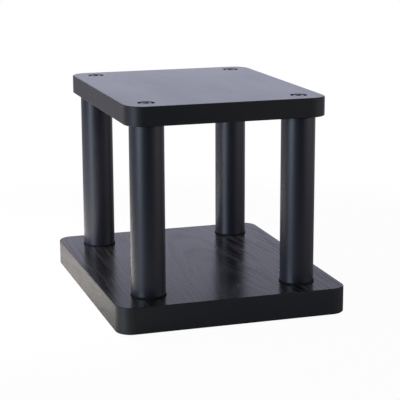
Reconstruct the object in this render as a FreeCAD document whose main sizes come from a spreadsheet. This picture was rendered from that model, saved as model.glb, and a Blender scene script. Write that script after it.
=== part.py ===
import FreeCAD, Part
import os
from math import atan2, hypot, pi, radians, sin

import Sketcher
from FreeCAD import Rotation, Vector

# Speaker stand: a base board and a top board, held apart by four tubular posts and bolted through.
# Millimetres. X runs left to right along the front, Y runs from the front to the back, Z is up.
# The origin lies on the surface that the stand rests on, under the middle of the base board.

SIZES = (
    ("top_width", "190", "top board, left to right"),
    ("top_depth", "240", "top board, front to back"),
    ("top_thickness", "18", "top board, a standard board thickness"),
    ("top_corner", "17", "radius of the top board's corners"),
    ("base_overhang", "15", "how far the base board stands out past the top board on every side"),
    ("base_thickness", "25", "base board, a standard board thickness"),
    ("base_corner", "15", "radius of the base board's corners"),
    ("board_easing", "1", "radius that softens the upper and lower edges of both boards"),
    ("post_inset", "22.5", "post axis, in from the top board's edges"),
    ("tube_diameter", "31.8", "outside of the post tube, 1 1/4 inch"),
    ("tube_wall", "1.5", "wall of the post tube"),
    ("tube_length", "157", "post tube, end to end"),
    ("tube_bevel", "0.4", "bevel on the outer edge of each tube end"),
    ("gasket_thickness", "1", "thin ring between a tube end and a board"),
    ("gasket_lip", "0.7", "how far a gasket stands out past the tube"),
    ("gasket_gap", "2", "screw in its gasket, on the radius"),
    ("gasket_easing", "0.3", "radius on the outer edges of a gasket"),
    ("insert_length", "22", "threaded insert in a tube end"),
    ("insert_bevel", "0.8", "lead-in bevel on the inner end of an insert"),
    ("insert_gap", "0.05", "insert in its tube, on the radius"),
    ("thread_diameter", "8", "M8 screw"),
    ("thread_gap", "0.05", "screw in its insert, on the radius"),
    ("thread_bevel", "1", "bevel on the tip of a screw"),
    ("top_engagement", "15.7", "top screw inside its insert: 30 mm under the head in this board"),
    ("base_engagement", "13.7", "base screw inside its insert: 35 mm under the head in this board"),
    ("head_diameter", "14", "button head of a screw, across its rim"),
    ("head_height", "4.4", "button head, from its seat to its flat top"),
    ("head_rim", "0.6", "straight rim under the dome of a button head"),
    ("head_flat", "10", "flat on top of a button head, round the socket"),
    ("head_sink", "0.3", "top of a screw head, below the board's surface"),
    ("head_gap", "1", "screw head in its recess, on the radius"),
    ("socket_width", "5", "hexagon socket across its flats"),
    ("socket_depth", "2.7", "hexagon socket"),
    ("shank_gap", "0.5", "screw shank in its board, on the radius"),
    ("pad_diameter", "18", "foot pad"),
    ("pad_thickness", "2", "foot pad"),
    ("pad_easing", "0.5", "radius on the lower edge of a foot pad"),
    ("pad_clearance", "5", "foot pad off the rim of the nearest screw recess"),
)

PLACES = (
    ("base_width", "Sizes.top_width + 2 * Sizes.base_overhang", "base board, left to right"),
    ("base_depth", "Sizes.top_depth + 2 * Sizes.base_overhang", "base board, front to back"),
    ("post_x", "Sizes.top_width / 2 - Sizes.post_inset", "post axis, sideways from the middle"),
    ("post_y", "Sizes.top_depth / 2 - Sizes.post_inset", "post axis, depthways from the middle"),
    ("post_pitch_x", "2 * post_x", "post axis to post axis, left to right"),
    ("post_pitch_y", "2 * post_y", "post axis to post axis, front to back"),
    ("base_bottom", "Sizes.pad_thickness", "underside of the base board"),
    ("base_top", "base_bottom + Sizes.base_thickness", "upper side of the base board"),
    ("tube_foot", "base_top + Sizes.gasket_thickness", "lower end of the tubes"),
    ("tube_head", "tube_foot + Sizes.tube_length", "upper end of the tubes"),
    ("top_bottom", "tube_head + Sizes.gasket_thickness", "underside of the top board"),
    ("top_surface", "top_bottom + Sizes.top_thickness", "upper side of the top board"),
    ("tube_bore", "Sizes.tube_diameter - 2 * Sizes.tube_wall", "inside diameter of the tube"),
    ("gasket_diameter", "Sizes.tube_diameter + 2 * Sizes.gasket_lip", "outside of a gasket"),
    ("insert_diameter", "tube_bore - 2 * Sizes.insert_gap", "outside of an insert"),
    ("insert_bore", "Sizes.thread_diameter + 2 * Sizes.thread_gap", "hole in an insert"),
    ("gasket_bore", "Sizes.thread_diameter + 2 * Sizes.gasket_gap", "hole in a gasket"),
    ("shank_hole", "Sizes.thread_diameter + 2 * Sizes.shank_gap", "screw hole in a board"),
    ("recess_diameter", "Sizes.head_diameter + 2 * Sizes.head_gap", "flat-bottomed recess for a screw head"),
    ("recess_depth", "Sizes.head_sink + Sizes.head_height", "screw recess, down to the head's seat"),
    ("head_radius", "Sizes.head_diameter / 2", "screw head"),
    ("flat_radius", "Sizes.head_flat / 2", "flat on top of a screw head"),
    ("dome_rise", "Sizes.head_height - Sizes.head_rim", "dome of a screw head, from its rim to its flat"),
    ("dome_centre", "(head_radius ^ 2 + dome_rise ^ 2 - flat_radius ^ 2) / (2 * dome_rise)",
     "centre of the dome's sphere, below the flat"),
    ("thread_radius", "Sizes.thread_diameter / 2", "screw shank"),
    ("socket_radius", "Sizes.socket_width / sqrt(3)", "hexagon socket, centre to corner"),
    ("base_head", "base_bottom + Sizes.head_sink", "outer face of the base screws' heads"),
    ("base_screw", "tube_foot + Sizes.base_engagement - base_head", "base screw, overall length"),
    ("top_head", "top_surface - Sizes.head_sink", "outer face of the top screws' heads"),
    ("top_screw", "top_head + Sizes.top_engagement - tube_head", "top screw, overall length"),
    ("pad_offset",
     "(recess_diameter / 2 + Sizes.pad_clearance + Sizes.pad_diameter / 2) / sqrt(2)",
     "foot pad from its post's axis, outwards along both edges"),
    ("pad_x", "post_x + pad_offset", "foot pad, sideways from the middle"),
    ("pad_y", "post_y + pad_offset", "foot pad, depthways from the middle"),
)

SOCKET_SIDES = 6
SIDES = {"left": -1, "right": 1}
ENDS = {"front": -1, "back": 1}
UPSIDE_DOWN = Rotation(Vector(1, 0, 0), 180)
NEAR = 1e-6

# Points and axes of a sketch, by the numbers its constraints use.
ORIGIN = (-1, 1)
X_AXIS, Y_AXIS = range(-1, -3, -1)
START, END, CENTRE = range(1, 4)

doc = FreeCAD.newDocument("speaker_stand")


# Sheets of sizes

def add_sheet(name, rows, prefix):
    sheet = doc.addObject("Spreadsheet::Sheet", name)
    for number, (alias, content, meaning) in enumerate(rows, start=1):
        sheet.set(f"A{number}", alias)
        sheet.set(f"B{number}", prefix + content)
        sheet.setAlias(f"B{number}", alias)
        sheet.set(f"C{number}", meaning)
    doc.recompute()
    return sheet


SHEETS = {
    "Sizes": add_sheet("Sizes", SIZES, ""),
    "Places": add_sheet("Places", PLACES, "="),
}


def value(cell):
    """The number in a cell that is named as Sheet.alias."""
    sheet, alias = cell.split(".")
    return float(SHEETS[sheet].get(alias))


# Bodies, sketches and features

def add_body(label):
    body = doc.addObject("PartDesign::Body", label)
    body.Label = label
    return body


def own(body, role):
    """One of the body's own origin planes or axes."""
    return next(item for item in body.Origin.OriginFeatures if item.Role == role)


def add_sketch(body, name, plane="XY_Plane"):
    sketch = body.newObject("Sketcher::SketchObject", name)
    sketch.AttachmentSupport = [(own(body, plane), "")]
    sketch.MapMode = "FlatFace"
    return sketch


def add_pad(body, sketch, length):
    pad = body.newObject("PartDesign::Pad", "Pad")
    pad.Profile = sketch
    pad.setExpression("Length", length)
    sketch.Visibility = False
    doc.recompute()
    return pad


def soften(body, kind, size, base, edges):
    """A Fillet (by Radius) or a Chamfer (by Size) on the named edges of the feature before it."""
    feature = body.newObject(f"PartDesign::{kind}", kind)
    feature.Base = (base, edges)
    feature.setExpression({"Fillet": "Radius", "Chamfer": "Size"}[kind], size)
    doc.recompute()
    return feature


def level_edges(feature, keep=lambda edge: True):
    """Names of the edges that lie level and pass the test."""
    return [
        f"Edge{number}" for number, edge in enumerate(feature.Shape.Edges, start=1)
        if edge.BoundBox.ZLength < NEAR and keep(edge)
    ]


def rim_edges(feature, height=None):
    """Names of the outermost circles, at one height or at any."""
    widest = max(edge.BoundBox.XLength for edge in feature.Shape.Edges)

    def on_rim(edge):
        here = height is None or abs(edge.BoundBox.ZMin - height) < NEAR
        return here and widest - edge.BoundBox.XLength < NEAR

    return level_edges(feature, on_rim)


def require_cut(feature, before, least):
    """Stops the build where a cut took away less than it should."""
    removed = before.Shape.Volume - feature.Shape.Volume
    if removed < least * (1 - NEAR):
        raise RuntimeError(f"{feature.Label} removed {removed:.1f} mm3, expected {least:.1f}")


def place(body, x="0", y="0", z="0"):
    for axis, expression in zip("xyz", (x, y, z)):
        body.setExpression(f"Placement.Base.{axis}", expression)


# Sketched outlines

def add_size(sketch, name, cell, kind, *where):
    """A driving size of a sketch that follows a cell."""
    index = sketch.addConstraint(Sketcher.Constraint(kind, *where, value(cell)))
    sketch.renameConstraint(index, name)
    sketch.setExpression(f"Constraints.{name}", cell)


def tie(sketch, kind, *where):
    sketch.addConstraint(Sketcher.Constraint(kind, *where))


def add_line(sketch, start, end):
    return sketch.addGeometry(Part.LineSegment(Vector(*start), Vector(*end)), False)


def add_circle(sketch, diameter, x=0, y=0):
    circle = Part.Circle(Vector(x, y, 0), Vector(0, 0, 1), value(diameter) / 2)
    return sketch.addGeometry(circle, False)


def add_centred_circle(sketch, name, diameter):
    circle = add_circle(sketch, diameter)
    tie(sketch, "Coincident", circle, CENTRE, *ORIGIN)
    add_size(sketch, name, diameter, "Diameter", circle)


def add_rounded_rectangle(sketch, width, depth, corner):
    """Four sides and four tangent corner arcs around the sketch's origin."""
    right, back, radius = value(width) / 2, value(depth) / 2, value(corner)
    inner_x, inner_y = right - radius, back - radius
    sides = (
        ((-inner_x, -back), (inner_x, -back)),
        ((right, -inner_y), (right, inner_y)),
        ((inner_x, back), (-inner_x, back)),
        ((-right, inner_y), (-right, -inner_y)),
    )
    centres = ((inner_x, -inner_y), (inner_x, inner_y), (-inner_x, inner_y), (-inner_x, -inner_y))
    lines = [add_line(sketch, *side) for side in sides]
    arcs = []
    for number, centre in enumerate(centres):
        circle = Part.Circle(Vector(*centre), Vector(0, 0, 1), radius)
        quarter = Part.ArcOfCircle(circle, radians(90 * number - 90), radians(90 * number))
        arcs.append(sketch.addGeometry(quarter, False))
    for number, (line, arc) in enumerate(zip(lines, arcs)):
        tie(sketch, "Tangent", line, END, arc, START)
        tie(sketch, "Tangent", arc, END, lines[(number + 1) % len(lines)], START)
        tie(sketch, "Vertical" if number % 2 else "Horizontal", line)
    for arc in arcs[1:]:
        tie(sketch, "Equal", arcs[0], arc)
    front, right, back, left = lines
    tie(sketch, "Symmetric", arcs[0], CENTRE, arcs[2], CENTRE, *ORIGIN)
    add_size(sketch, "width", width, "DistanceX", left, START, right, START)
    add_size(sketch, "depth", depth, "DistanceY", front, START, back, START)
    add_size(sketch, "corner", corner, "Radius", arcs[0])


def add_post_circles(sketch, diameter):
    """One circle on each post's axis, mirrored from the one at the back right."""
    x, y = value("Places.post_x"), value("Places.post_y")
    first = add_circle(sketch, diameter, x, y)
    left = add_circle(sketch, diameter, -x, y)
    front = add_circle(sketch, diameter, x, -y)
    opposite = add_circle(sketch, diameter, -x, -y)
    for circle, mirror in ((left, (Y_AXIS,)), (front, (X_AXIS,)), (opposite, ORIGIN)):
        tie(sketch, "Equal", first, circle)
        tie(sketch, "Symmetric", first, CENTRE, circle, CENTRE, *mirror)
    add_size(sketch, "hole", diameter, "Diameter", first)
    add_size(sketch, "sideways", "Places.post_x", "DistanceX", *ORIGIN, first, CENTRE)
    add_size(sketch, "depthways", "Places.post_y", "DistanceY", *ORIGIN, first, CENTRE)


def add_screw_outline(sketch, length):
    """Half a button-head screw that stands on its head, with the screw's axis upright."""
    head, shank = value("Places.head_radius"), value("Places.thread_radius")
    flat, height = value("Places.flat_radius"), value("Sizes.head_height")
    rise, centre = value("Places.dome_rise"), value("Places.dome_centre")
    tip, bevel = value(length), value("Sizes.thread_bevel")
    points = (
        (0, 0), (flat, 0), (head, rise), (head, height), (shank, height),
        (shank, tip - bevel), (shank - bevel, tip), (0, tip),
    )
    sphere = Part.Circle(Vector(0, centre, 0), Vector(0, 0, 1), hypot(flat, centre))
    dome = Part.ArcOfCircle(sphere, atan2(-centre, flat), atan2(rise - centre, head))
    face = add_line(sketch, *points[:2])
    dome = sketch.addGeometry(dome, False)
    rest = [add_line(sketch, *ends) for ends in zip(points[2:], points[3:] + points[:1])]
    outline = [face, dome, *rest]
    for edge, following in zip(outline, outline[1:] + outline[:1]):
        tie(sketch, "Coincident", edge, END, following, START)
    rim, seat, side, edge, end, axis = rest
    tie(sketch, "Coincident", face, START, *ORIGIN)
    tie(sketch, "PointOnObject", dome, CENTRE, Y_AXIS)
    for line in (face, seat, end):
        tie(sketch, "Horizontal", line)
    for line in (rim, side, axis):
        tie(sketch, "Vertical", line)
    add_size(sketch, "flat_radius", "Places.flat_radius", "DistanceX", *ORIGIN, face, END)
    add_size(sketch, "head_radius", "Places.head_radius", "DistanceX", *ORIGIN, rim, END)
    add_size(sketch, "head_height", "Sizes.head_height", "DistanceY", *ORIGIN, rim, END)
    add_size(sketch, "rim", "Sizes.head_rim", "DistanceY", rim, START, rim, END)
    add_size(sketch, "shank_radius", "Places.thread_radius", "DistanceX", *ORIGIN, seat, END)
    add_size(sketch, "length", length, "DistanceY", *ORIGIN, end, END)
    add_size(sketch, "bevel_in", "Sizes.thread_bevel", "DistanceX", edge, END, edge, START)
    add_size(sketch, "bevel_up", "Sizes.thread_bevel", "DistanceY", edge, START, edge, END)


# Sub-parts

def make_board(label, width, depth, thickness, corner, bottom, screws_from_above):
    """A board with softened edges and a counterbored screw hole on each post's axis."""
    body = add_body(label)
    outline = add_sketch(body, "BoardOutline")
    add_rounded_rectangle(outline, width, depth, corner)
    slab = add_pad(body, outline, thickness)
    eased = soften(body, "Fillet", "Sizes.board_easing", slab, level_edges(slab))
    centres = add_sketch(body, "ScrewCentres")
    add_post_circles(centres, "Places.shank_hole")
    if screws_from_above:
        centres.setExpression("AttachmentOffset.Base.z", thickness)
    doc.recompute()
    holes = body.newObject("PartDesign::Hole", "ScrewHoles")
    holes.Profile = centres
    doc.recompute()
    holes.Reversed = not screws_from_above
    holes.DepthType = "ThroughAll"
    holes.HoleCutType = "Counterbore"
    holes.HoleCutCustomValues = True
    holes.setExpression("Diameter", "Places.shank_hole")
    holes.setExpression("HoleCutDiameter", "Places.recess_diameter")
    holes.setExpression("HoleCutDepth", "Places.recess_depth")
    centres.Visibility = False
    place(body, z=bottom)
    doc.recompute()
    recess, depth = value("Places.recess_diameter"), value("Places.recess_depth")
    shank_hole = value("Places.shank_hole")
    one_hole = pi / 4 * (recess ** 2 * depth + shank_hole ** 2 * (value(thickness) - depth))
    require_cut(holes, eased, len(SIDES) * len(ENDS) * one_hole)
    return body


def make_tube(label, x, y):
    """A post: a round tube with a small bevel round each end."""
    body = add_body(label)
    section = add_sketch(body, "TubeSection")
    add_centred_circle(section, "outside", "Sizes.tube_diameter")
    add_centred_circle(section, "bore", "Places.tube_bore")
    tube = add_pad(body, section, "Sizes.tube_length")
    soften(body, "Chamfer", "Sizes.tube_bevel", tube, rim_edges(tube))
    place(body, x, y, "Places.tube_foot")
    return body


def make_insert(label, x, y, z, upside_down):
    """A steel plug for a tube end, flush with the tube, with the screw's hole through it."""
    body = add_body(label)
    section = add_sketch(body, "InsertSection")
    add_centred_circle(section, "outside", "Places.insert_diameter")
    add_centred_circle(section, "bore", "Places.insert_bore")
    plug = add_pad(body, section, "Sizes.insert_length")
    inner_end = rim_edges(plug, value("Sizes.insert_length"))
    soften(body, "Chamfer", "Sizes.insert_bevel", plug, inner_end)
    if upside_down:
        body.Placement.Rotation = UPSIDE_DOWN
    place(body, x, y, z)
    return body


def make_gasket(label, x, y, z):
    """A flat ring that keeps a tube end off its board."""
    body = add_body(label)
    section = add_sketch(body, "GasketSection")
    add_centred_circle(section, "outside", "Places.gasket_diameter")
    add_centred_circle(section, "bore", "Places.gasket_bore")
    ring = add_pad(body, section, "Sizes.gasket_thickness")
    soften(body, "Fillet", "Sizes.gasket_easing", ring, rim_edges(ring))
    place(body, x, y, z)
    return body


def make_pad(label, x, y):
    """A round foot pad, softened where it meets the surface below."""
    body = add_body(label)
    section = add_sketch(body, "PadSection")
    add_centred_circle(section, "outside", "Sizes.pad_diameter")
    disc = add_pad(body, section, "Sizes.pad_thickness")
    soften(body, "Fillet", "Sizes.pad_easing", disc, rim_edges(disc, 0))
    place(body, x, y)
    return body


def make_screws(label, length, head, upside_down):
    """Four button-head screws with hexagon sockets, one on each post's axis."""
    body = add_body(label)
    outline = add_sketch(body, "ScrewOutline", "XZ_Plane")
    add_screw_outline(outline, length)
    screw = body.newObject("PartDesign::Revolution", "Screw")
    screw.Profile = outline
    screw.ReferenceAxis = (outline, ["V_Axis"])
    screw.Angle = 360
    outline.Visibility = False
    doc.recompute()
    socket = body.newObject("PartDesign::SubtractivePrism", "Socket")
    socket.AttachmentSupport = [(own(body, "XY_Plane"), "")]
    socket.MapMode = "FlatFace"
    socket.Polygon = SOCKET_SIDES
    socket.setExpression("Circumradius", "Places.socket_radius")
    socket.setExpression("Height", "Sizes.socket_depth")
    doc.recompute()
    triangle = value("Places.socket_radius") ** 2 * sin(2 * pi / SOCKET_SIDES) / 2
    require_cut(socket, screw, SOCKET_SIDES * triangle * value("Sizes.socket_depth"))
    group = body.newObject("PartDesign::LinearPattern", "ScrewGroup")
    group.TransformMode = "Whole shape"
    group.Direction = (own(body, "X_Axis"), [""])
    group.Mode = "Extent"
    group.Occurrences = len(SIDES)
    group.setExpression("Length", "Places.post_pitch_x")
    group.Direction2 = (own(body, "Y_Axis"), [""])
    group.Mode2 = "Extent"
    group.Occurrences2 = len(ENDS)
    group.setExpression("Length2", "Places.post_pitch_y")
    body.Tip = group
    if upside_down:
        body.Placement.Rotation = UPSIDE_DOWN
    place(body, "-Places.post_x", "Places.post_y" if upside_down else "-Places.post_y", head)
    doc.recompute()
    return body


# The assembly

parts = [
    make_board("base_board", "Places.base_width", "Places.base_depth", "Sizes.base_thickness",
               "Sizes.base_corner", "Places.base_bottom", screws_from_above=False),
    make_board("top_board", "Sizes.top_width", "Sizes.top_depth", "Sizes.top_thickness",
               "Sizes.top_corner", "Places.top_bottom", screws_from_above=True),
    make_screws("base_screws", "Places.base_screw", "Places.base_head", upside_down=False),
    make_screws("top_screws", "Places.top_screw", "Places.top_head", upside_down=True),
]
for end, towards in ENDS.items():
    for side, across in SIDES.items():
        corner = f"{end}_{side}"
        post = (f"{across} * Places.post_x", f"{towards} * Places.post_y")
        parts += [
            make_tube(f"{corner}_post_tube", *post),
            make_gasket(f"{corner}_lower_gasket", *post, "Places.base_top"),
            make_gasket(f"{corner}_upper_gasket", *post, "Places.tube_head"),
            make_insert(f"{corner}_lower_insert", *post, "Places.tube_foot", upside_down=False),
            make_insert(f"{corner}_upper_insert", *post, "Places.tube_head", upside_down=True),
            make_pad(f"{corner}_foot_pad", f"{across} * Places.pad_x", f"{towards} * Places.pad_y"),
        ]

doc.recompute()
for item in doc.Objects:
    faults = {"Invalid", "Error"} & set(item.State)
    if faults:
        raise RuntimeError(f"{item.Label} is {', '.join(sorted(faults))}")
for part in parts:
    if part.Shape.isNull() or not part.Shape.isValid():
        raise RuntimeError(f"{part.Label} has no valid shape")

os.makedirs("parts", exist_ok=True)
for part in parts:
    part.Shape.exportStep(f"parts/{part.Label}.step")
    print(f"{part.Label}: {len(part.Shape.Solids)} solid(s), {part.Shape.Volume:.1f} mm3")
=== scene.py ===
from collections import namedtuple
from math import cos, pi, radians, sin, sqrt

import bmesh
import bpy
from bpy.props import FloatProperty, FloatVectorProperty, IntProperty, PointerProperty
from mathutils import Matrix, Vector


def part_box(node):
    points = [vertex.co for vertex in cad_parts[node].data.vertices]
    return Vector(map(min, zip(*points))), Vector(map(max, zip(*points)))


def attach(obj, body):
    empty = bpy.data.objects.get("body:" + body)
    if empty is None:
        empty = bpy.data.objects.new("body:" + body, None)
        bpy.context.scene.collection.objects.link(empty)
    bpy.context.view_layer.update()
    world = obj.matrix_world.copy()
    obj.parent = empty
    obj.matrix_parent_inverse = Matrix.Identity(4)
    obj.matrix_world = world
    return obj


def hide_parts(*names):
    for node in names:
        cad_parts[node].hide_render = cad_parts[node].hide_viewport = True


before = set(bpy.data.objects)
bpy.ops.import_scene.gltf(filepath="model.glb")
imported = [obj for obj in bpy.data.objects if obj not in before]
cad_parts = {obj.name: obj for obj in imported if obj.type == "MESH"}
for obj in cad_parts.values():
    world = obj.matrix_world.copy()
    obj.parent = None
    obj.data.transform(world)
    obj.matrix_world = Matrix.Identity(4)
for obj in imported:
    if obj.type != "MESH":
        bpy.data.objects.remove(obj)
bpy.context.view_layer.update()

# Speaker stand: the finish of every piece, the threaded screws, and a pale stage to show it on.
# Metres. X runs left to right along the front, Y runs from the front to the back, Z is up.

bl_info = {
    "name": "Speaker stand",
    "version": (1, 0, 0),
    "blender": (4, 5, 0),
    "location": "View3D > Sidebar > Speaker stand",
    "description": "Finishes, screws and stage for a two-board speaker stand on tubular posts",
    "category": "Object",
}

BODY = "root"
MM = 0.001
# Index of refraction of the powder coat and of the rubber.
REFRACTION = 1.5
CORNERS = [f"{end}_{side}" for end in ("front", "back") for side in ("left", "right")]


def middle(node):
    """The middle of a node's box."""
    low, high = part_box(node)
    return (low + high) / 2


POST_AXES = [middle(f"{corner}_post_tube") for corner in CORNERS]
POST_PITCH = max(axis.x for axis in POST_AXES) - min(axis.x for axis in POST_AXES)
BASE_SCREWS_LOW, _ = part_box("base_screws")
TOP_SCREWS_LOW, TOP_SCREWS_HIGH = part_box("top_screws")
HEAD_DIAMETER = TOP_SCREWS_HIGH.x - TOP_SCREWS_LOW.x - POST_PITCH


# Node trees

class Value:
    """A node's output that can be used in sums. Each operation adds one Math node to its tree."""

    def __init__(self, graph, socket):
        self.graph = graph
        self.socket = socket

    def __add__(self, other):
        return self.graph.math("ADD", self, other)

    def __sub__(self, other):
        return self.graph.math("SUBTRACT", self, other)

    def __rsub__(self, other):
        return self.graph.math("SUBTRACT", other, self)

    def __mul__(self, other):
        return self.graph.math("MULTIPLY", self, other)

    def __truediv__(self, other):
        return self.graph.math("DIVIDE", self, other)

    def __rtruediv__(self, other):
        return self.graph.math("DIVIDE", other, self)

    def __mod__(self, other):
        return self.graph.math("FLOORED_MODULO", self, other)

    def __pow__(self, other):
        return self.graph.math("POWER", self, other)

    def __abs__(self):
        return self.graph.math("ABSOLUTE", self)

    def __gt__(self, other):
        return self.graph.math("GREATER_THAN", self, other)

    def __lt__(self, other):
        return self.graph.math("LESS_THAN", self, other)

    __radd__ = __add__
    __rmul__ = __mul__

    def floor(self):
        return self.graph.math("FLOOR", self)

    def ceil(self):
        return self.graph.math("CEIL", self)

    def cosine(self):
        return self.graph.math("COSINE", self)

    def sine(self):
        return self.graph.math("SINE", self)

    def turn_from(self, other):
        """The angle, from 0 along other, whose tangent is this over other."""
        return self.graph.math("ARCTAN2", self, other)

    def at_least(self, other):
        return self.graph.math("MAXIMUM", self, other)

    def at_most(self, other):
        return self.graph.math("MINIMUM", self, other)

    def rise(self, low, high, start=0.0, end=1.0):
        """Goes smoothly from start, where this is low, to end, where it is high."""
        ranges = {"Value": self, "From Min": low, "From Max": high, "To Min": start, "To Max": end}
        return self.graph.add("ShaderNodeMapRange", {"interpolation_type": "SMOOTHSTEP"}, ranges)

    def output(self, name):
        """Another output of the same node."""
        return Value(self.graph, self.socket.node.outputs[name])

    def towards(self, other, share):
        """This where share is 0 and the other where it is 1."""
        return self + share * (other - self)

    def along(self, stops):
        """Runs in straight steps through the stops, one for each whole number from 0."""
        result = stops[0]
        for number, (here, following) in enumerate(zip(stops, stops[1:])):
            share = (self - number).at_least(0).at_most(1)
            result = result + share * (following - here)
        return result


class Graph:
    """Adds nodes to a tree."""

    def __init__(self, tree):
        self.tree = tree

    def add(self, kind, settings=None, values=None, output=None):
        """A node of that type: its settings first, then numbers or links for its sockets."""
        node = self.tree.nodes.new(kind)
        for name, setting in (settings or {}).items():
            setattr(node, name, setting)
        for key, value in (values or {}).items():
            socket = self.find(node.inputs, key)
            if isinstance(value, Value):
                self.tree.links.new(value.socket, socket)
            else:
                socket.default_value = value
        outputs = [socket for socket in node.outputs if socket.enabled]
        if not outputs:
            return None
        return Value(self, outputs[0] if output is None else self.find(node.outputs, output))

    @staticmethod
    def find(sockets, key):
        """A socket by its number, or the one in use by its name."""
        if isinstance(key, int):
            return sockets[key]
        return next(socket for socket in sockets if socket.name == key and socket.enabled)

    def math(self, operation, *values):
        return self.add("ShaderNodeMath", {"operation": operation}, dict(enumerate(values)))

    def scaled(self, vector, factors):
        """A vector with each part multiplied by its own factor."""
        return self.add("ShaderNodeVectorMath", {"operation": "MULTIPLY"}, {0: vector, 1: factors})

    def parts(self, vector):
        """The three parts of a vector."""
        split = self.add("ShaderNodeSeparateXYZ", None, {0: vector})
        return [split.output(name) for name in "XYZ"]

    def noise(self, place, per_metre, detail=2.0, roughness=0.5):
        """Soft noise from 0 to 1 with its own number of features per metre along X, Y and Z."""
        values = {
            "Vector": self.scaled(place, per_metre), "Scale": 1.0,
            "Detail": detail, "Roughness": roughness,
        }
        return self.add("ShaderNodeTexNoise", {"noise_dimensions": "3D"}, values)

    def tint(self, share, colour, other):
        """Colour where share is 0 and the other where it is 1."""
        values = {"Factor": share, "A": colour, "B": other}
        return self.add("ShaderNodeMix", {"data_type": "RGBA"}, values)


def opaque(colour):
    return (*colour, 1.0)


def shaded(colour, share):
    """The colour at that share of its brightness."""
    return opaque(part * share for part in colour)


def grey(level):
    return (level, level, level, 1.0)


def new_material(name):
    """An empty material, its graph and its Object coordinates."""
    material = bpy.data.materials.new(name)
    material.use_nodes = True
    material.node_tree.nodes.clear()
    graph = Graph(material.node_tree)
    place = graph.add("ShaderNodeTexCoord", output="Object")
    return material, graph, place


def finish_surface(graph, values, relief, depth):
    """A Principled surface with a relief, from 0 to 1, that is depth deep."""
    bump = graph.add("ShaderNodeBump", None, {"Height": relief, "Distance": depth})
    shader = graph.add("ShaderNodeBsdfPrincipled", None, {**values, "Normal": bump})
    graph.add("ShaderNodeOutputMaterial", None, {"Surface": shader})


def wear(objects, material):
    """Gives objects one material in all their slots."""
    for item in objects:
        if not item.data.materials:
            item.data.materials.append(material)
        for number in range(len(item.data.materials)):
            item.data.materials[number] = material


def nodes_named(ending):
    return [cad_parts[f"{corner}_{ending}"] for corner in CORNERS]


# Black stained open-grain boards

class BoardLook(bpy.types.PropertyGroup):
    stain: FloatVectorProperty(
        name="Stain", description="Colour of the stained wood between its pores",
        default=(0.0050, 0.0049, 0.0056), subtype="COLOR", size=3, min=0, max=1)
    pore_stain: FloatVectorProperty(
        name="Pore stain", description="Colour in the pores, where the stain settles",
        default=(0.0022, 0.0021, 0.0024), subtype="COLOR", size=3, min=0, max=1)
    fibre: FloatVectorProperty(
        name="Fibre", description="Colour of the hard raised fibres that take less stain",
        default=(0.035, 0.033, 0.042), subtype="COLOR", size=3, min=0, max=1)
    rubbed: FloatVectorProperty(
        name="Rubbed edge", description="Colour where the stain is rubbed thin along the edges",
        default=(0.020, 0.018, 0.017), subtype="COLOR", size=3, min=0, max=1)
    base_lacquer: FloatProperty(
        name="Base lacquer roughness",
        description="Roughness of the thin lacquer over the base's open grain",
        default=0.225, subtype="FACTOR", min=0, max=1)
    top_lacquer: FloatProperty(
        name="Top lacquer roughness", description="Roughness of the fuller lacquer on the top board",
        default=0.23, subtype="FACTOR", min=0, max=1)
    banding: FloatProperty(
        name="Banding roughness", description="Roughness of the banding round the edges",
        default=0.48, subtype="FACTOR", min=0, max=1)
    refraction: FloatProperty(
        name="Lacquer refraction", description="Index of refraction of the lacquer",
        default=1.42, min=1, max=2)
    ring_width: FloatProperty(
        name="Ring width", description="Mean width of a growth ring",
        default=3.4 * MM, subtype="DISTANCE", unit="LENGTH", min=0.5 * MM)
    heart_depth: FloatProperty(
        name="Heart depth", description="How far the tree's heart lies below the board",
        default=62 * MM, subtype="DISTANCE", unit="LENGTH", min=MM)
    heart_rise: FloatProperty(
        name="Heart slope",
        description="How much deeper the heart lies for each metre towards the back",
        default=0.07, min=-1, max=1)
    grain_depth: FloatProperty(
        name="Grain depth", description="Depth of the open grain",
        default=0.06 * MM, subtype="DISTANCE", unit="LENGTH", min=0)


# How far to the right each board's tree had its heart, what moves the board's noise, so that the two
# aren't alike, and how open its grain is under the lacquer.
BoardCut = namedtuple("BoardCut", "heart_side sample open_grain")
BOARD_CUTS = {
    "base_board": BoardCut(heart_side=14 * MM, sample=(0.0, 0.0, 0.0), open_grain=1.0),
    "top_board": BoardCut(heart_side=-31 * MM, sample=(0.43, 1.27, 0.61), open_grain=0.06),
}
# Features per metre along X, Y and Z. The faces' grain runs along Y, and the banding's runs level.
RING_WANDER = (14, 4, 14)
RING_WAVER = (90, 12, 90)
FACE_PORES = (1500, 70, 1500)
FACE_PATCHES = (26, 6, 26)
EDGE_STREAKS = (30, 30, 1300)
EDGE_PORES = (160, 160, 3200)
RUBBED_SPOTS = (120, 120, 500)
# Streaks per metre outwards from the heart, and along the board.
STREAKS_OUTWARD = 340
STREAKS_ALONG = 14
# The furthest that the slow wander and the quick waver move a ring, from end to end.
WANDER_WIDTH = 10 * MM
WAVER_WIDTH = 0.6 * MM
# How unevenly the rings are spaced: drifts for each ring, and the most rings a drift shifts one by.
DRIFTS_PER_RING = 0.35
DRIFT_RINGS = 1.6
# How far to the side of the heart the strong figure starts and is full.
FIGURE_STARTS = (8 * MM, 36 * MM)
# From how far left of the heart the figure builds up, and where it is full.
FIGURE_BUILDS = (-80 * MM, -10 * MM)


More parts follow.
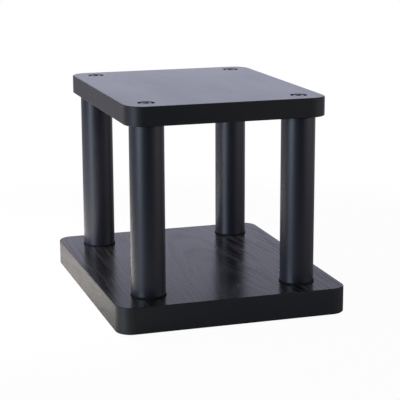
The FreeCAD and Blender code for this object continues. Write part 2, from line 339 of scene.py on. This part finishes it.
def growth_rings(graph, look, moved, across, deep):
    """How far each place lies from the tree's heart, and a line that is 1 where a ring starts."""
    wander = graph.noise(moved, RING_WANDER, 2.0) - 0.5
    waver = graph.noise(moved, RING_WAVER, 1.0) - 0.5
    straight = (across * across + deep * deep) ** 0.5
    radius = straight + wander * WANDER_WIDTH + waver * WAVER_WIDTH
    count = radius / look.ring_width
    uneven = graph.add("ShaderNodeTexNoise", {"noise_dimensions": "1D"}, {
        "W": count, "Scale": DRIFTS_PER_RING, "Detail": 1.0})
    phase = (count + uneven * DRIFT_RINGS) % 1.0
    return radius, (abs(phase - 0.5) * 2).rise(0.30, 1.0)


def face_grain(graph, look, place, moved, cut, surface):
    """Pores and pale fibres along Y on the upper and lower face, and the slow patches they lie in."""
    x, y, z = graph.parts(place)
    across = x - cut.heart_side
    deep = y * look.heart_rise + z + (look.heart_depth - surface)
    radius, early = growth_rings(graph, look, moved, across, deep)
    lines = graph.add("ShaderNodeCombineXYZ", None, {
        "X": radius * STREAKS_OUTWARD, "Y": y * STREAKS_ALONG, "Z": z * STREAKS_ALONG})
    streaks = graph.add("ShaderNodeTexNoise", None, {"Vector": lines, "Scale": 1.0, "Detail": 2.0})
    fibres = streaks.rise(0.46, 0.64)
    hollows = streaks.rise(0.34, 0.48, 1, 0)
    fine_pores = graph.noise(moved, FACE_PORES, 1.0).rise(0.48, 0.64)
    pores = (fine_pores * 0.5 + 0.5) * (early * 0.6 + hollows * 0.5).at_most(1) * cut.open_grain

    patches = graph.noise(moved, FACE_PATCHES, 2.0, 0.5)
    beside_heart = abs(across).rise(*FIGURE_STARTS, 0.15, 1.0)
    figured = beside_heart * across.rise(*FIGURE_BUILDS, 0.16, 1.0)
    strong = patches.rise(0.24, 0.52) * figured
    pale = fibres * (strong * 0.9 + 0.1) * (1 - pores * 0.8) * cut.open_grain
    return pores, pale, patches


def edge_grain(graph, moved):
    """Pores and relief of the banding, whose grain runs level round the sides."""
    streaks = graph.noise(moved, EDGE_STREAKS, 2.0)
    pores = graph.noise(moved, EDGE_PORES, 1.0).rise(0.52, 0.68)
    return pores * 0.7, streaks * 0.6 - pores * 0.4 + 0.4


def stained_wood(name, look, cut, lacquer, surface):
    """Flat-sawn wood under black stain: arched rings, pores and fibres along Y, banded sides."""
    material, graph, place = new_material(name)
    moved = graph.add("ShaderNodeVectorMath", {"operation": "ADD"}, {0: place, 1: cut.sample})
    # 1 on the upper and lower face, 0 on the sides, and between them on the eased edges.
    upright = abs(graph.parts(graph.add("ShaderNodeTexCoord", output="Normal"))[2])
    side = upright.rise(0.55, 0.85, 1, 0)
    on_edge = upright.rise(0.08, 0.35) * upright.rise(0.90, 0.995, 1, 0)
    worn = on_edge * graph.noise(moved, RUBBED_SPOTS, 3.0, 0.6).rise(0.46, 0.70)

    face_pores, pale, patches = face_grain(graph, look, place, moved, cut, surface)
    face_relief = 0.5 + pale * 0.5 - face_pores * 0.5
    edge_pores, edge_relief = edge_grain(graph, moved)
    grain = edge_pores * side + face_pores * (1 - side)
    relief = edge_relief * side + face_relief * (1 - side)

    colour = graph.tint(grain, opaque(look.stain), opaque(look.pore_stain))
    colour = graph.tint(pale * (1 - side), colour, opaque(look.fibre))
    colour = graph.tint(worn * 0.6, colour, opaque(look.rubbed))
    smooth = side * (look.banding - lacquer) + lacquer
    rough = smooth + grain * 0.08 + pale * 0.11 + (patches - 0.5) * 0.06 - worn * 0.08
    values = {"Base Color": colour, "Roughness": rough, "IOR": look.refraction}
    finish_surface(graph, values, relief, look.grain_depth)
    return material


class SPEAKERSTAND_OT_boards(bpy.types.Operator):
    """Stain and lacquer the top board and the base board"""
    bl_idname = "speaker_stand.boards"
    bl_label = "Boards"
    bl_options = {"REGISTER", "UNDO"}

    def execute(self, context):
        look = context.scene.speaker_stand_boards
        lacquers = {"base_board": look.base_lacquer, "top_board": look.top_lacquer}
        for board, cut in BOARD_CUTS.items():
            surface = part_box(board)[1].z
            wood = stained_wood(f"black_stained_{board}", look, cut, lacquers[board], surface)
            wear([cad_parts[board]], wood)
        return {"FINISHED"}


# Powder-coated post tubes

class TubeLook(bpy.types.PropertyGroup):
    coat: FloatVectorProperty(
        name="Powder coat", description="Colour of the powder coat",
        default=(0.0068, 0.0067, 0.0115), subtype="COLOR", size=3, min=0, max=1)
    roughness: FloatProperty(
        name="Coat roughness", description="Roughness of the satin powder coat",
        default=0.39, subtype="FACTOR", min=0, max=1)
    texture_depth: FloatProperty(
        name="Texture depth", description="Depth of the coat's fine orange-peel texture",
        default=0.012 * MM, subtype="DISTANCE", unit="LENGTH", min=0)


def powder_coat(look):
    """Satin black powder coat with a fine orange-peel texture and a little unevenness."""
    material, graph, place = new_material("satin_powder_coat")
    peel = graph.noise(place, (750, 750, 750), 2.0)
    grit = graph.noise(place, (2600, 2600, 2600), 1.0)
    cloud = graph.noise(place, (45, 45, 30), 3.0, 0.55)
    specks = graph.noise(place, (1500, 1500, 1500), 0.0).rise(0.70, 0.80)
    colour = graph.tint(cloud * 0.6 + specks * 0.4, opaque(look.coat), shaded(look.coat, 0.7))
    rough = (cloud - 0.5) * 0.10 + (grit - 0.5) * 0.08 + look.roughness
    values = {"Base Color": colour, "Roughness": rough, "IOR": REFRACTION}
    finish_surface(graph, values, peel * 0.7 + grit * 0.3, look.texture_depth)
    return material


class SPEAKERSTAND_OT_post_tubes(bpy.types.Operator):
    """Powder-coat the four post tubes"""
    bl_idname = "speaker_stand.post_tubes"
    bl_label = "Post tubes"
    bl_options = {"REGISTER", "UNDO"}

    def execute(self, context):
        wear(nodes_named("post_tube"), powder_coat(context.scene.speaker_stand_tubes))
        return {"FINISHED"}


# Rubber gaskets and foot pads

class RubberLook(bpy.types.PropertyGroup):
    gasket: FloatVectorProperty(
        name="Gasket rubber", description="Colour of the rings at the ends of the tubes",
        default=(0.0030, 0.0030, 0.0036), subtype="COLOR", size=3, min=0, max=1)
    pad: FloatVectorProperty(
        name="Pad rubber", description="Colour of the foot pads",
        default=(0.011, 0.011, 0.0115), subtype="COLOR", size=3, min=0, max=1)
    roughness: FloatProperty(
        name="Rubber roughness", description="Roughness of the moulded rubber",
        default=0.75, subtype="FACTOR", min=0, max=1)


# How many grains of the mould a metre has, and how deep they are.
GASKET_GRAIN = (1100, 0.02 * MM)
PAD_GRAIN = (700, 0.05 * MM)


def moulded_rubber(name, colour, look, per_metre, depth):
    """Matte black rubber with a fine moulded grain and a faint grey bloom."""
    material, graph, place = new_material(name)
    grain = graph.noise(place, (per_metre,) * 3, 3.0, 0.6)
    bloom = graph.noise(place, (160, 160, 160), 3.0, 0.6).rise(0.45, 0.75)
    shade = graph.tint(bloom * 0.5, opaque(colour), shaded(colour, 1.8))
    rough = bloom * 0.12 + (grain - 0.5) * 0.15 + look.roughness
    values = {"Base Color": shade, "Roughness": rough, "IOR": REFRACTION, "Specular IOR Level": 0.25}
    finish_surface(graph, values, grain, depth)
    return material


class SPEAKERSTAND_OT_gaskets(bpy.types.Operator):
    """Give the eight gaskets their rubber"""
    bl_idname = "speaker_stand.gaskets"
    bl_label = "Gaskets"
    bl_options = {"REGISTER", "UNDO"}

    def execute(self, context):
        look = context.scene.speaker_stand_rubber
        rubber = moulded_rubber("gasket_rubber", look.gasket, look, *GASKET_GRAIN)
        wear(nodes_named("lower_gasket") + nodes_named("upper_gasket"), rubber)
        return {"FINISHED"}


class SPEAKERSTAND_OT_foot_pads(bpy.types.Operator):
    """Give the four foot pads their rubber"""
    bl_idname = "speaker_stand.foot_pads"
    bl_label = "Foot pads"
    bl_options = {"REGISTER", "UNDO"}

    def execute(self, context):
        look = context.scene.speaker_stand_rubber
        rubber = moulded_rubber("pad_rubber", look.pad, look, *PAD_GRAIN)
        wear(nodes_named("foot_pad"), rubber)
        return {"FINISHED"}


# Steel: zinc-plated inserts and black screws

class SteelLook(bpy.types.PropertyGroup):
    zinc: FloatVectorProperty(
        name="Zinc", description="Colour of the zinc plating on the inserts",
        default=(0.52, 0.53, 0.56), subtype="COLOR", size=3, min=0, max=1)
    oxide: FloatVectorProperty(
        name="Black oxide", description="Colour of the black oxide on the screws",
        default=(0.050, 0.050, 0.058), subtype="COLOR", size=3, min=0, max=1)
    oxide_roughness: FloatProperty(
        name="Oxide roughness", description="Roughness of the black oxide",
        default=0.22, subtype="FACTOR", min=0, max=1)


TOOL_RING_DEPTH = 0.006 * MM
FORGED_GRIT_DEPTH = 0.008 * MM


def zinc_plate(look):
    """Turned steel under zinc: fine tool rings and dull patches."""
    material, graph, place = new_material("zinc_plated_steel")
    rings = graph.noise(place, (60, 60, 6500), 2.0)
    patches = graph.noise(place, (220, 220, 220), 4.0, 0.6)
    colour = graph.tint(patches, opaque(look.zinc), shaded(look.zinc, 0.72))
    rough = patches * 0.25 + rings * 0.12 + 0.18
    values = {"Base Color": colour, "Metallic": 1.0, "Roughness": rough}
    finish_surface(graph, values, rings, TOOL_RING_DEPTH)
    return material


def black_oxide(look):
    """Black oxide on steel: satin, a little cloudy, with a fine forged texture."""
    material, graph, place = new_material("black_oxide_steel")
    cloud = graph.noise(place, (320, 320, 320), 3.0, 0.6)
    grit = graph.noise(place, (3800, 3800, 3800), 2.0)
    pale = cloud.rise(0.45, 0.75) * 0.6
    colour = graph.tint(pale, opaque(look.oxide), shaded(look.oxide, 1.7))
    rough = (cloud - 0.5) * 0.16 + (grit - 0.5) * 0.10 + look.oxide_roughness
    values = {"Base Color": colour, "Metallic": 1.0, "Roughness": rough}
    finish_surface(graph, values, grit, FORGED_GRIT_DEPTH)
    return material


class SPEAKERSTAND_OT_inserts(bpy.types.Operator):
    """Zinc-plate the eight threaded inserts"""
    bl_idname = "speaker_stand.inserts"
    bl_label = "Inserts"
    bl_options = {"REGISTER", "UNDO"}

    def execute(self, context):
        zinc = zinc_plate(context.scene.speaker_stand_steel)
        wear(nodes_named("lower_insert") + nodes_named("upper_insert"), zinc)
        return {"FINISHED"}


class ScrewSizes(bpy.types.PropertyGroup):
    head_diameter: FloatProperty(
        name="Head diameter", description="Button head, across its rim",
        default=HEAD_DIAMETER, subtype="DISTANCE", unit="LENGTH", min=MM)
    head_height: FloatProperty(
        name="Head height", description="Button head, from its seat to its flat top",
        default=4.4 * MM, subtype="DISTANCE", unit="LENGTH", min=MM)
    head_rim: FloatProperty(
        name="Head rim", description="Straight rim under the head's dome",
        default=0.6 * MM, subtype="DISTANCE", unit="LENGTH", min=0)
    head_flat: FloatProperty(
        name="Head flat", description="Flat on top of the head, round the socket",
        default=10 * MM, subtype="DISTANCE", unit="LENGTH", min=MM)
    thread_diameter: FloatProperty(
        name="Thread diameter", description="Outside of the thread",
        default=8 * MM, subtype="DISTANCE", unit="LENGTH", min=MM)
    pitch: FloatProperty(
        name="Pitch", description="Distance from one thread to the next",
        default=1.25 * MM, subtype="DISTANCE", unit="LENGTH", min=0.1 * MM)
    tip_bevel: FloatProperty(
        name="Tip bevel", description="Bevel round the tip",
        default=1 * MM, subtype="DISTANCE", unit="LENGTH", min=0)
    socket_width: FloatProperty(
        name="Socket width", description="Hexagon socket across its flats",
        default=5 * MM, subtype="DISTANCE", unit="LENGTH", min=MM)
    socket_depth: FloatProperty(
        name="Socket depth", description="Hexagon socket below the head's face",
        default=2.7 * MM, subtype="DISTANCE", unit="LENGTH", min=0)
    seed: IntProperty(
        name="Turn seed", description="Picks how far each screw is turned", default=4)


SCREW_INPUTS = {
    "Length": "Float", "Head Radius": "Float", "Head Height": "Float", "Head Rim": "Float",
    "Flat Radius": "Float", "Thread Radius": "Float", "Pitch": "Float", "Tip Bevel": "Float",
    "Socket Width": "Float", "Socket Depth": "Float", "Tilt": "Float", "Seed": "Int",
    "Material": "Material",
}
# Steps round the screw's axis, and down the dome of its head.
COLUMNS = 48
DOME_STEPS = 6
SOCKET_SIDES = 6
# The socket's round mouth, in shares of the circle through its hexagon's corners. The mouth's bevel
# and the drilled point at the bottom, in shares of the socket's depth.
SOCKET_MOUTH = 1.04
MOUTH_BEVEL = 0.1
DRILL_POINT = 0.15
# External metric thread, in shares of the pitch: its depth, and where its crest, first flank, root
# and second flank start. The heights are 1 on the crest and 0 at the root.
THREAD_DEPTH = 17 * sqrt(3) / 48
THREAD_STARTS = (0, 1 / 8, 7 / 16, 11 / 16)
THREAD_HEIGHTS = (1, 1, 0, 0)
# How many pitches stay plain under the head. The thread then deepens over one pitch.
PLAIN_PITCHES = 0.4
WELD_DISTANCE = 0.002 * MM
SMOOTH_BELOW = radians(32)
# A screw grows upwards from the top of its head: the base's stay so, and the top board's turn over.
UPWARDS, DOWNWARDS = 0.0, pi


def geometry_tree(name, inputs):
    """An empty Geometry Nodes tree with named inputs, and those inputs as values."""
    tree = bpy.data.node_groups.new(name, "GeometryNodeTree")
    for direction in ("INPUT", "OUTPUT"):
        tree.interface.new_socket("Geometry", in_out=direction, socket_type="NodeSocketGeometry")
    for label, kind in inputs.items():
        tree.interface.new_socket(label, in_out="INPUT", socket_type=f"NodeSocket{kind}")
    graph = Graph(tree)
    start = graph.add("NodeGroupInput", output="Geometry")
    return tree, graph, start, {label: start.output(label) for label in inputs}


def head_stops(size, angle):
    """The radii and the heights of the head's rows: its socket, flat, dome, rim and seat."""
    head, flat, shoulder = size["Head Radius"], size["Flat Radius"], size["Head Height"]
    sector = 2 * pi / SOCKET_SIDES
    from_flat = (angle + sector / 2) % sector - sector / 2
    flats = size["Socket Width"] / 2 / from_flat.cosine()
    mouth = size["Socket Width"] * (SOCKET_MOUTH / 2 / cos(sector / 2))
    depth = size["Socket Depth"]

    rise = shoulder - size["Head Rim"]
    centre = (head * head + rise * rise - flat * flat) / (rise * 2)
    sphere = (flat * flat + centre * centre) ** 0.5
    top_turn, rim_turn = flat.turn_from(centre), head.turn_from(centre - rise)
    shares = [step / DOME_STEPS for step in range(DOME_STEPS + 1)]
    turns = [top_turn + (rim_turn - top_turn) * share for share in shares]
    dome_radii = [sphere * turn.sine() for turn in turns]
    dome_heights = [centre - sphere * turn.cosine() for turn in turns]

    radii = [0.0, flats, flats, mouth, *dome_radii, head, size["Thread Radius"]]
    point, bevel = depth * (1 + DRILL_POINT), depth * MOUTH_BEVEL
    heights = [point, depth, bevel, 0.0, *dome_heights, shoulder, shoulder]
    return radii, heights


def shank_place(size, row, angle):
    """The radius and the height on the shank, whose rows, counted from 0, climb as they go round."""
    shank, pitch = size["Thread Radius"], size["Pitch"]
    shoulder, length = size["Head Height"], size["Length"]
    steps = len(THREAD_STARTS)
    turn = ((row + 0.5) / steps).floor()
    within = row - turn * steps
    climb = turn + within.along(THREAD_STARTS) + angle / (2 * pi) - 1
    height = (climb * pitch + shoulder).at_least(shoulder).at_most(length)
    run_in = ((height - shoulder) / pitch - PLAIN_PITCHES).at_least(0).at_most(1)
    cut = (1 - within.along(THREAD_HEIGHTS)) * run_in * pitch * THREAD_DEPTH
    tip = length - height + shank - size["Tip Bevel"]
    return (shank - cut).at_most(tip), height


def screw_tree():
    """Swings a profile round the screw's axis, winds its thread, and sets one on each point."""
    tree, graph, points, size = geometry_tree("button_head_screws", SCREW_INPUTS)
    # Each row of the grid goes once round the axis. Half an index more keeps rounding out of it.
    index = graph.add("GeometryNodeInputIndex")
    row = (index / (COLUMNS + 1) + 0.5 / (COLUMNS + 1)).floor()
    angle = (index - row * (COLUMNS + 1)) * (2 * pi / COLUMNS)

    radii, heights = head_stops(size, angle)
    first = len(radii)
    threaded = row > (first - 0.5)
    shank_radius, shank_height = shank_place(size, (row - first).at_least(0), angle)
    radius = row.along(radii).towards(shank_radius, threaded)
    height = row.along(heights).towards(shank_height, threaded)
    # One turn more at each end, because the rows that run past an end are held level there. The last
    # row is a point that closes the tip.
    turns = ((size["Length"] - size["Head Height"]) / size["Pitch"]).ceil() + 2
    rows = turns * len(THREAD_STARTS) + (first + 1)
    radius = radius * (row < rows - 1.5)

    grid = graph.add("GeometryNodeMeshGrid", None, {"Vertices X": rows, "Vertices Y": COLUMNS + 1})
    position = graph.add("ShaderNodeCombineXYZ", None, {
        "X": radius * angle.cosine(), "Y": radius * angle.sine(), "Z": height})
    screw = graph.add("GeometryNodeSetPosition", None, {"Geometry": grid, "Position": position})
    screw = graph.add("GeometryNodeMergeByDistance", None, {
        "Geometry": screw, "Distance": WELD_DISTANCE})
    screw = graph.add("GeometryNodeFlipFaces", None, {"Mesh": screw})

    spin = graph.add("FunctionNodeRandomValue", {"data_type": "FLOAT"}, {
        "Min": 0.0, "Max": 2 * pi, "Seed": size["Seed"]})
    turned = graph.add("ShaderNodeCombineXYZ", None, {"X": size["Tilt"], "Z": spin})
    placed = graph.add("GeometryNodeInstanceOnPoints", None, {
        "Points": points, "Instance": screw, "Rotation": turned})
    real = graph.add("GeometryNodeRealizeInstances", None, {"Geometry": placed})
    done = graph.add("GeometryNodeSetMaterial", None, {
        "Geometry": real, "Material": size["Material"]})
    graph.add("NodeGroupOutput", None, {"Geometry": done})
    return tree


def grow(name, points, tree, values):
    """A plain mesh object from points and a Geometry Nodes tree with its inputs set."""
    mesh = bpy.data.meshes.new(name)
    mesh.from_pydata(points, [], [])
    piece = bpy.data.objects.new(name, mesh)
    bpy.context.scene.collection.objects.link(piece)
    modifier = piece.modifiers.new("Grow", "NODES")
    modifier.node_group = tree
    for socket in tree.interface.items_tree:
        if socket.in_out == "INPUT" and socket.name in values:
            modifier[socket.identifier] = values[socket.name]
    evaluated = piece.evaluated_get(bpy.context.evaluated_depsgraph_get())
    grown = bpy.data.meshes.new_from_object(evaluated)
    piece.modifiers.remove(modifier)
    piece.data = grown
    grown.name = name
    if not grown.polygons:
        raise RuntimeError(f"{name} came out empty")
    grown.set_sharp_from_angle(angle=SMOOTH_BELOW)
    return piece


class SPEAKERSTAND_OT_screws(bpy.types.Operator):
    """Make the eight button-head screws with their threads and hexagon sockets"""
    bl_idname = "speaker_stand.screws"
    bl_label = "Screws"
    bl_options = {"REGISTER", "UNDO"}

    def execute(self, context):
        sizes = context.scene.speaker_stand_screws
        values = {
            "Head Radius": sizes.head_diameter / 2, "Head Height": sizes.head_height,
            "Head Rim": sizes.head_rim, "Flat Radius": sizes.head_flat / 2,
            "Thread Radius": sizes.thread_diameter / 2,
            "Pitch": sizes.pitch, "Tip Bevel": sizes.tip_bevel,
            "Socket Width": sizes.socket_width, "Socket Depth": sizes.socket_depth,
            "Material": black_oxide(context.scene.speaker_stand_steel),
        }
        tree = screw_tree()
        groups = (
            ("base_screws", BASE_SCREWS_LOW.z, UPWARDS, sizes.seed),
            ("top_screws", TOP_SCREWS_HIGH.z, DOWNWARDS, sizes.seed + 1),
        )
        for node, face, tilt, seed in groups:
            low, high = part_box(node)
            points = [(axis.x, axis.y, face) for axis in POST_AXES]
            chosen = {**values, "Length": high.z - low.z, "Tilt": tilt, "Seed": seed}
            screws = grow(f"threaded_{node}", points, tree, chosen)
            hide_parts(node)
            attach(screws, BODY)
        return {"FINISHED"}


# Stage

class StageLook(bpy.types.PropertyGroup):
    floor_radius: FloatProperty(
        name="Floor radius", description="Radius of the round pale floor",
        default=0.62, subtype="DISTANCE", unit="LENGTH", min=0.3)
    shadow: FloatProperty(
        name="Shadow", description="How much of the floor's own light and shadow the camera sees",
        default=0.03, subtype="FACTOR", min=0, max=1)
    lamps: FloatProperty(
        name="Lamps", description="Strength of all the lamps together", default=1.0, min=0)
    camera_place: FloatVectorProperty(
        name="Camera place", description="Where the camera stands",
        default=(-0.3777, -1.2281, 0.3833), subtype="TRANSLATION", unit="LENGTH", size=3)
    heading: FloatProperty(
        name="Heading", description="Camera's turn to the right of the stand's depth",
        default=radians(17.43), subtype="ANGLE", unit="ROTATION")
    dip: FloatProperty(
        name="Dip", description="Camera's tilt below level",
        default=radians(12.90), subtype="ANGLE", unit="ROTATION")
    roll: FloatProperty(
        name="Roll", description="Camera's roll",
        default=radians(-0.24), subtype="ANGLE", unit="ROTATION")
    lens: FloatProperty(
        name="Lens", description="Focal length on a 36 mm wide sensor", default=119.86,
        subtype="DISTANCE_CAMERA", min=1)


FLOOR_WHITE = 0.62
FLOOR_BELOW = 0.2 * MM
FLOOR_SIDES = 128
# Where the floor's shadows start to fade and are gone, in shares of its radius.
FLOOR_FADES = (0.6, 0.97)
# place and aim are points, size is a width and a height, and in_gloss lets gloss show the lamp.
Lamp = namedtuple("Lamp", "place aim size watts colour in_gloss")
LAMPS = {
    "pool_beside_left": Lamp(
        place=(-0.21, 0.12, 0.14), aim=(-0.17, 0.12, 0.0), size=(0.38, 0.12),
        watts=2.0, colour=(1.0, 0.93, 0.84), in_gloss=False),
    "softbox_left": Lamp(
        place=(-2.15, -1.03, 0.42), aim=(0.0, 0.0, 0.12), size=(1.1, 1.0),
        watts=40.0, colour=(0.66, 0.82, 1.0), in_gloss=True),
    "card_right": Lamp(
        place=(0.95, -0.72, 0.25), aim=(0.0, 0.0, 0.10), size=(1.2, 0.5),
        watts=2.4, colour=(1.0, 0.98, 1.0), in_gloss=True),
}
# The world by direction: dim in front, paler at the sides, palest behind and near the horizon.
BACKDROP = (0.91, 0.92, 1.14)
BACKDROP_HIGH = (0.20, 0.21, 0.26)
SIDES_ROUND = (0.33, 0.33, 0.40)
ROOM_FRONT = (0.05, 0.05, 0.065)
TABLE_BEHIND = (0.56, 0.56, 0.60)
# Where one of them gives way to the next. The first two are sines of the angle above level, and the
# other two run from -1, straight towards the front, to 1, straight behind.
BACKDROP_ENDS = (0.23, 0.345)
TABLE_ENDS = (-0.12, 0.0)
FRONT_ENDS = (-0.95, -0.50)
BEHIND_STARTS = (-0.10, 0.60)


def make_floor(look):
    """A round pale floor: the camera sees it white with a faint shadow, the stand sees it lit."""
    mesh = bpy.data.meshes.new("floor")
    build = bmesh.new()
    bmesh.ops.create_circle(build, cap_ends=True, segments=FLOOR_SIDES, radius=look.floor_radius)
    bmesh.ops.translate(build, verts=build.verts, vec=(0, 0, -FLOOR_BELOW))
    build.to_mesh(mesh)
    build.free()
    floor = bpy.data.objects.new("floor", mesh)
    bpy.context.scene.collection.objects.link(floor)
    material, graph, place = new_material("pale_floor")
    x, y, _ = graph.parts(place)
    outward = (x * x + y * y) ** 0.5
    faded = outward.rise(*(look.floor_radius * share for share in FLOOR_FADES))
    plain = faded * look.shadow + (1 - look.shadow)
    camera = graph.add("ShaderNodeLightPath", output="Is Camera Ray")
    lit = graph.add("ShaderNodeBsdfDiffuse", None, {"Color": grey(FLOOR_WHITE)})
    white = graph.add("ShaderNodeEmission", None, {"Color": grey(1.0)})
    mixed = graph.add("ShaderNodeMixShader", None, {0: plain * camera, 1: lit, 2: white})
    graph.add("ShaderNodeOutputMaterial", None, {"Surface": mixed})
    mesh.materials.append(material)


def make_lamps(look):
    for name, lamp in LAMPS.items():
        light = bpy.data.lights.new(name, "AREA")
        light.shape = "RECTANGLE"
        light.size, light.size_y = lamp.size
        light.energy = lamp.watts * look.lamps
        light.color = lamp.colour
        holder = bpy.data.objects.new(name, light)
        bpy.context.scene.collection.objects.link(holder)
        turn = (Vector(lamp.aim) - Vector(lamp.place)).to_track_quat("-Z", "Y")
        holder.matrix_world = Matrix.Translation(lamp.place) @ turn.to_matrix().to_4x4()
        holder.visible_camera = False
        holder.visible_glossy = lamp.in_gloss


def make_world():
    """White for the camera; for the stand, a pale backdrop behind and a dimmer room in front."""
    world = bpy.data.worlds.new("studio")
    world.use_nodes = True
    world.node_tree.nodes.clear()
    graph = Graph(world.node_tree)
    direction = graph.add("ShaderNodeTexCoord", output="Generated")
    _, back, height = graph.parts(direction)
    backdrop = graph.tint(height.rise(*BACKDROP_ENDS), opaque(BACKDROP), opaque(BACKDROP_HIGH))
    behind = graph.tint(height.rise(*TABLE_ENDS), opaque(TABLE_BEHIND), backdrop)
    around = graph.tint(back.rise(*FRONT_ENDS), opaque(ROOM_FRONT), opaque(SIDES_ROUND))
    room = graph.tint(back.rise(*BEHIND_STARTS), around, behind)
    camera = graph.add("ShaderNodeLightPath", output="Is Camera Ray")
    seen = graph.tint(camera, room, grey(1.0))
    light = graph.add("ShaderNodeBackground", None, {"Color": seen})
    graph.add("ShaderNodeOutputWorld", None, {"Surface": light})
    bpy.context.scene.world = world


def make_camera(look):
    reach = cos(look.dip)
    forward = Vector((sin(look.heading) * reach, cos(look.heading) * reach, -sin(look.dip)))
    level = Vector((cos(look.heading), -sin(look.heading), 0))
    upward = level.cross(forward)
    right = level * cos(look.roll) + upward * sin(look.roll)
    up = upward * cos(look.roll) - level * sin(look.roll)
    turned = Matrix((right, up, -forward)).transposed()
    lens = bpy.data.cameras.new("camera")
    lens.lens = look.lens
    camera = bpy.data.objects.new("camera", lens)
    bpy.context.scene.collection.objects.link(camera)
    camera.matrix_world = Matrix.Translation(look.camera_place) @ turned.to_4x4()
    bpy.context.scene.camera = camera


class SPEAKERSTAND_OT_stage(bpy.types.Operator):
    """Set up the floor, the lamps, the world and the camera"""
    bl_idname = "speaker_stand.stage"
    bl_label = "Stage"
    bl_options = {"REGISTER", "UNDO"}

    def execute(self, context):
        look = context.scene.speaker_stand_stage
        make_camera(look)
        make_floor(look)
        make_lamps(look)
        make_world()
        context.scene.view_settings.view_transform = "Standard"
        return {"FINISHED"}


class SPEAKERSTAND_PT_sidebar(bpy.types.Panel):
    """Lists the stand's pieces with the sizes and colours that can be changed"""
    bl_idname = "SPEAKERSTAND_PT_sidebar"
    bl_label = "Speaker stand"
    bl_space_type = "VIEW_3D"
    bl_region_type = "UI"
    bl_category = "Speaker stand"

    def draw(self, context):
        for group, operators in SECTIONS.items():
            box = self.layout.box()
            for operator in operators:
                box.operator(operator.bl_idname)
            look = getattr(context.scene, group)
            for name in look.__annotations__:
                box.prop(look, name)


GROUPS = {
    "speaker_stand_boards": BoardLook,
    "speaker_stand_tubes": TubeLook,
    "speaker_stand_rubber": RubberLook,
    "speaker_stand_steel": SteelLook,
    "speaker_stand_screws": ScrewSizes,
    "speaker_stand_stage": StageLook,
}
SECTIONS = {
    "speaker_stand_boards": (SPEAKERSTAND_OT_boards,),
    "speaker_stand_tubes": (SPEAKERSTAND_OT_post_tubes,),
    "speaker_stand_rubber": (SPEAKERSTAND_OT_gaskets, SPEAKERSTAND_OT_foot_pads),
    "speaker_stand_steel": (SPEAKERSTAND_OT_inserts,),
    "speaker_stand_screws": (SPEAKERSTAND_OT_screws,),
    "speaker_stand_stage": (SPEAKERSTAND_OT_stage,),
}
OPERATORS = [operator for section in SECTIONS.values() for operator in section]


def register():
    for item in (*GROUPS.values(), *OPERATORS, SPEAKERSTAND_PT_sidebar):
        bpy.utils.register_class(item)
    for name, group in GROUPS.items():
        setattr(bpy.types.Scene, name, PointerProperty(type=group))


def unregister():
    for name in GROUPS:
        delattr(bpy.types.Scene, name)
    for item in reversed((*GROUPS.values(), *OPERATORS, SPEAKERSTAND_PT_sidebar)):
        bpy.utils.unregister_class(item)


def main():
    register()
    for operator in OPERATORS:
        module, name = operator.bl_idname.split(".")
        getattr(getattr(bpy.ops, module), name)()


if __name__ == "__main__":
    main()
